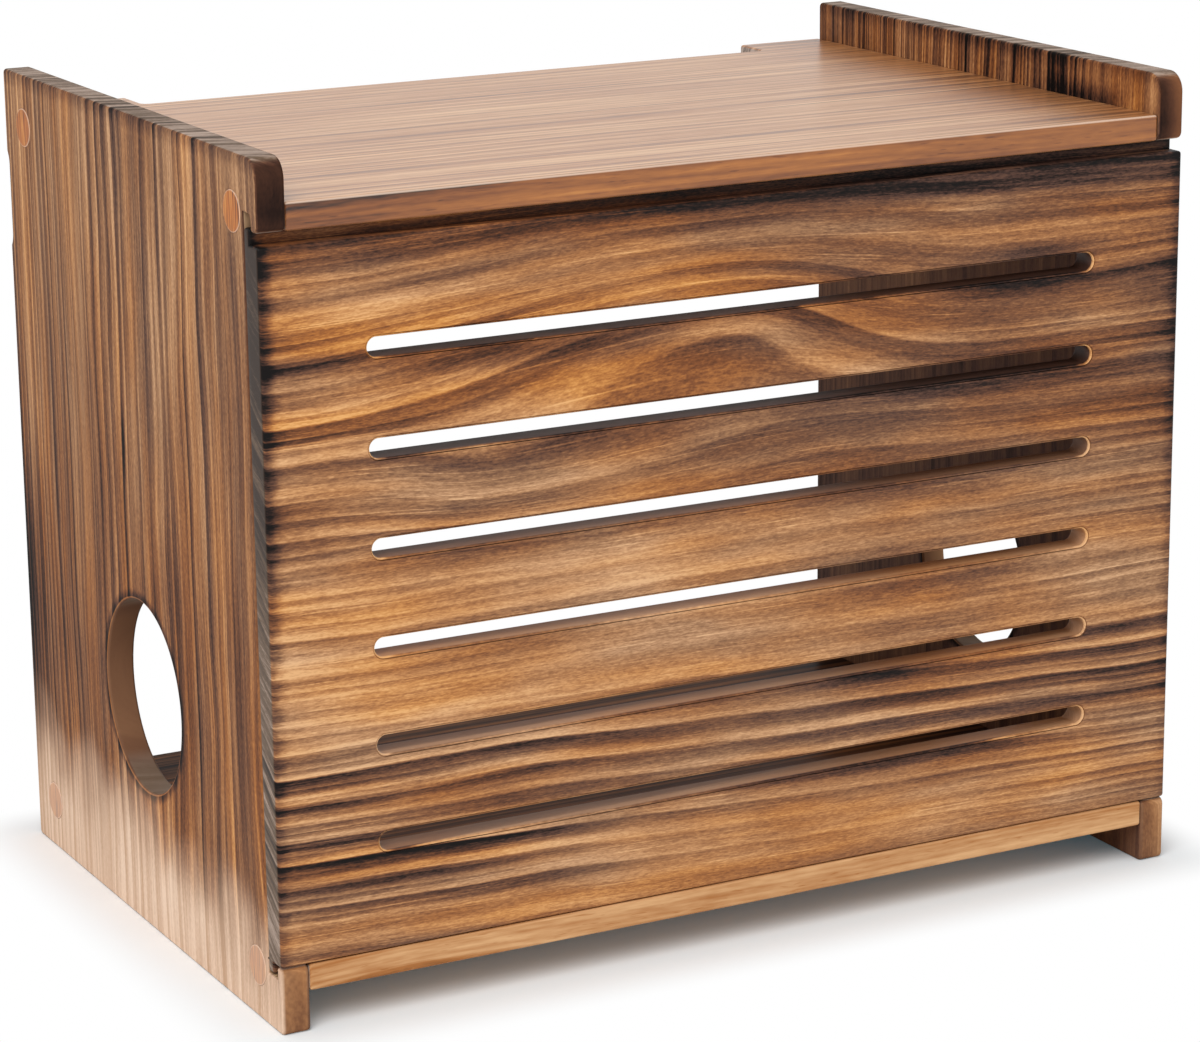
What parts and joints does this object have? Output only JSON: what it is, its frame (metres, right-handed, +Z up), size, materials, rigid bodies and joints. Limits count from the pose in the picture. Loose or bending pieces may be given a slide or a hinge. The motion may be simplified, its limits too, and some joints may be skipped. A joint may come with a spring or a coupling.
{
  "type": "router storage box",
  "caption": "Open-backed torched-pine box that hides a network router, with a lift-out slotted front panel, raised side panels, round cable holes and a rear cable notch.",
  "frame": {"origin": "on the ground under the middle of the box", "axes": "+Z up, front panel faces -Y, +X to the right seen from the front"},
  "size_m": [0.4006, 0.262, 0.33],
  "materials": {
    "torched_pine_side": "torched pine, satin clear lacquer",
    "torched_pine_board": "torched pine, satin clear lacquer",
    "torched_pine_front": "torched pine, satin clear lacquer",
    "plug_wood": "stained wood, satin",
    "zinc_steel": "zinc plated",
    "black_steel": "black coated steel"
  },
  "bodies": {
    "case": {"left_side_panel": "torched_pine_side", "right_side_panel": "torched_pine_side", "top_board": "torched_pine_board", "bottom_board": "torched_pine_board", "left_plug_top_front": "plug_wood", "left_plug_top_rear": "plug_wood", "left_plug_bottom_front": "plug_wood", "left_plug_bottom_rear": "plug_wood", "right_plug_top_front": "plug_wood", "right_plug_top_rear": "plug_wood", "right_plug_bottom_front": "plug_wood", "right_plug_bottom_rear": "plug_wood", "left_screw_top_front": "zinc_steel", "left_screw_top_rear": "zinc_steel", "left_screw_bottom_front": "zinc_steel", "left_screw_bottom_rear": "zinc_steel", "right_screw_top_front": "zinc_steel", "right_screw_top_rear": "zinc_steel", "right_screw_bottom_front": "zinc_steel", "right_screw_bottom_rear": "zinc_steel", "left_hanger_plate": "black_steel", "right_hanger_plate": "black_steel", "left_hanger_screw_upper": "zinc_steel", "left_hanger_screw_lower": "zinc_steel", "right_hanger_screw_upper": "zinc_steel", "right_hanger_screw_lower": "zinc_steel"},
    "lift_out_front": {"front_panel": "torched_pine_front"}
  },
  "joints": [
    {"name": "front_panel_lift", "type": "slide", "parent": "case", "child": "lift_out_front", "axis": [0, 0, 1], "range_m": [0, 0.0045]}
  ]
}
